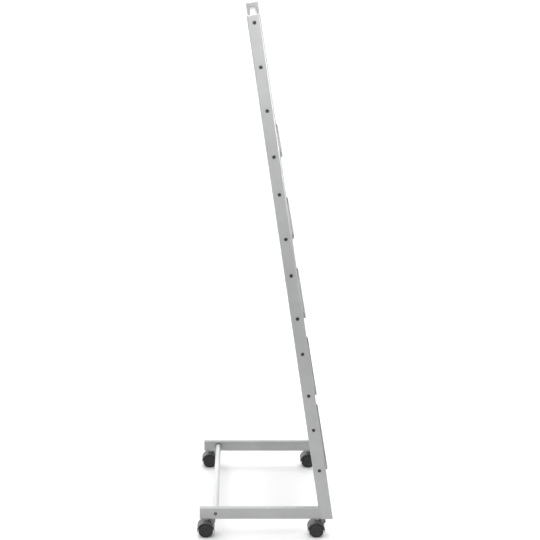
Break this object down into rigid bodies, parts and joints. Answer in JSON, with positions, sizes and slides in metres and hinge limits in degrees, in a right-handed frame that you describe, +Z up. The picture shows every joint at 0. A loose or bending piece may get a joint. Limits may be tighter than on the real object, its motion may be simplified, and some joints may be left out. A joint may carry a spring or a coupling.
{
  "type": "mobile display rack",
  "caption": "Leaning mobile rack on braked casters: two tube side frames, a flat header panel and a column of folded steel trays.",
  "frame": {"origin": "on the floor, under the middle of the rack's outer box", "axes": "+Z up; the rack's front, with the tray lips, faces -Y; +X is to the right of someone facing the front"},
  "size_m": [0.636, 0.4606, 1.7484],
  "materials": {
    "silver_paint": "satin silver-grey powder coat",
    "white_steel": "smooth white coated sheet",
    "black_plastic": "satin black moulding",
    "black_tread": "black nylon wheel",
    "grey_plastic": "grey moulding",
    "black_steel": "black screw finish",
    "zinc_steel": "zinc-plated steel"
  },
  "bodies": {
    "frame": {"left_upright": "silver_paint", "left_base_rail": "silver_paint", "left_upright_plug": "grey_plastic", "left_rail_plug": "grey_plastic", "left_tray_screws": "black_steel", "left_header_screw": "black_steel", "left_top_crossbar_screw": "black_steel", "left_rear_crossbar_screw": "black_steel", "left_top_crossbar_insert": "grey_plastic", "left_rear_crossbar_insert": "grey_plastic", "left_rear_crossbar_ring": "black_plastic", "right_upright": "silver_paint", "right_base_rail": "silver_paint", "right_upright_plug": "grey_plastic", "right_rail_plug": "grey_plastic", "right_tray_screws": "black_steel", "right_header_screw": "black_steel", "right_top_crossbar_screw": "black_steel", "right_rear_crossbar_screw": "black_steel", "right_top_crossbar_insert": "grey_plastic", "right_rear_crossbar_insert": "grey_plastic", "right_rear_crossbar_ring": "black_plastic", "top_crossbar": "silver_paint", "rear_crossbar": "silver_paint", "header_panel": "white_steel", "tray_1": "silver_paint", "tray_2": "silver_paint", "tray_3": "silver_paint", "tray_4": "silver_paint", "tray_5": "silver_paint", "front_left_caster_socket": "zinc_steel", "front_left_caster_stem": "zinc_steel", "rear_left_caster_socket": "zinc_steel", "rear_left_caster_stem": "zinc_steel", "front_right_caster_socket": "zinc_steel", "front_right_caster_stem": "zinc_steel", "rear_right_caster_socket": "zinc_steel", "rear_right_caster_stem": "zinc_steel"},
    "front_left_housing": {"front_left_caster_housing": "black_plastic", "front_left_caster_axle": "zinc_steel"},
    "front_left_left_wheel": {"front_left_caster_left_wheel": "black_tread"},
    "front_left_right_wheel": {"front_left_caster_right_wheel": "black_tread"},
    "front_left_brake": {"front_left_caster_brake_lever": "black_plastic"},
    "rear_left_housing": {"rear_left_caster_housing": "black_plastic", "rear_left_caster_axle": "zinc_steel"},
    "rear_left_left_wheel": {"rear_left_caster_left_wheel": "black_tread"},
    "rear_left_right_wheel": {"rear_left_caster_right_wheel": "black_tread"},
    "rear_left_brake": {"rear_left_caster_brake_lever": "black_plastic"},
    "front_right_housing": {"front_right_caster_housing": "black_plastic", "front_right_caster_axle": "zinc_steel"},
    "front_right_left_wheel": {"front_right_caster_left_wheel": "black_tread"},
    "front_right_right_wheel": {"front_right_caster_right_wheel": "black_tread"},
    "front_right_brake": {"front_right_caster_brake_lever": "black_plastic"},
    "rear_right_housing": {"rear_right_caster_housing": "black_plastic", "rear_right_caster_axle": "zinc_steel"},
    "rear_right_left_wheel": {"rear_right_caster_left_wheel": "black_tread"},
    "rear_right_right_wheel": {"rear_right_caster_right_wheel": "black_tread"},
    "rear_right_brake": {"rear_right_caster_brake_lever": "black_plastic"}
  },
  "joints": [
    {"name": "front_left_swivel", "type": "hinge", "parent": "frame", "child": "front_left_housing", "pos_m": [-0.295, -0.17825, 0.063], "axis": [0, 0, 1], "continuous": true},
    {"name": "front_left_left_wheel_spin", "type": "hinge", "parent": "front_left_housing", "child": "front_left_left_wheel", "pos_m": [-0.295, -0.17425, 0.025], "axis": [1, 0, 0], "continuous": true},
    {"name": "front_left_right_wheel_spin", "type": "hinge", "parent": "front_left_housing", "child": "front_left_right_wheel", "pos_m": [-0.295, -0.17425, 0.025], "axis": [1, 0, 0], "continuous": true},
    {"name": "front_left_brake_press", "type": "hinge", "parent": "front_left_housing", "child": "front_left_brake", "pos_m": [-0.295, -0.19353, 0.04798], "axis": [1, 0, 0], "range_deg": [0, 18]},
    {"name": "rear_left_swivel", "type": "hinge", "parent": "frame", "child": "rear_left_housing", "pos_m": [-0.295, 0.19675, 0.063], "axis": [0, 0, 1], "continuous": true},
    {"name": "rear_left_left_wheel_spin", "type": "hinge", "parent": "rear_left_housing", "child": "rear_left_left_wheel", "pos_m": [-0.295, 0.20075, 0.025], "axis": [1, 0, 0], "continuous": true},
    {"name": "rear_left_right_wheel_spin", "type": "hinge", "parent": "rear_left_housing", "child": "rear_left_right_wheel", "pos_m": [-0.295, 0.20075, 0.025], "axis": [1, 0, 0], "continuous": true},
    {"name": "rear_left_brake_press", "type": "hinge", "parent": "rear_left_housing", "child": "rear_left_brake", "pos_m": [-0.295, 0.18147, 0.04798], "axis": [1, 0, 0], "range_deg": [0, 18]},
    {"name": "front_right_swivel", "type": "hinge", "parent": "frame", "child": "front_right_housing", "pos_m": [0.295, -0.17825, 0.063], "axis": [0, 0, 1], "continuous": true},
    {"name": "front_right_left_wheel_spin", "type": "hinge", "parent": "front_right_housing", "child": "front_right_left_wheel", "pos_m": [0.295, -0.17425, 0.025], "axis": [1, 0, 0], "continuous": true},
    {"name": "front_right_right_wheel_spin", "type": "hinge", "parent": "front_right_housing", "child": "front_right_right_wheel", "pos_m": [0.295, -0.17425, 0.025], "axis": [1, 0, 0], "continuous": true},
    {"name": "front_right_brake_press", "type": "hinge", "parent": "front_right_housing", "child": "front_right_brake", "pos_m": [0.295, -0.19353, 0.04798], "axis": [1, 0, 0], "range_deg": [0, 18]},
    {"name": "rear_right_swivel", "type": "hinge", "parent": "frame", "child": "rear_right_housing", "pos_m": [0.295, 0.19675, 0.063], "axis": [0, 0, 1], "continuous": true},
    {"name": "rear_right_left_wheel_spin", "type": "hinge", "parent": "rear_right_housing", "child": "rear_right_left_wheel", "pos_m": [0.295, 0.20075, 0.025], "axis": [1, 0, 0], "continuous": true},
    {"name": "rear_right_right_wheel_spin", "type": "hinge", "parent": "rear_right_housing", "child": "rear_right_right_wheel", "pos_m": [0.295, 0.20075, 0.025], "axis": [1, 0, 0], "continuous": true},
    {"name": "rear_right_brake_press", "type": "hinge", "parent": "rear_right_housing", "child": "rear_right_brake", "pos_m": [0.295, 0.18147, 0.04798], "axis": [1, 0, 0], "range_deg": [0, 18]}
  ]
}
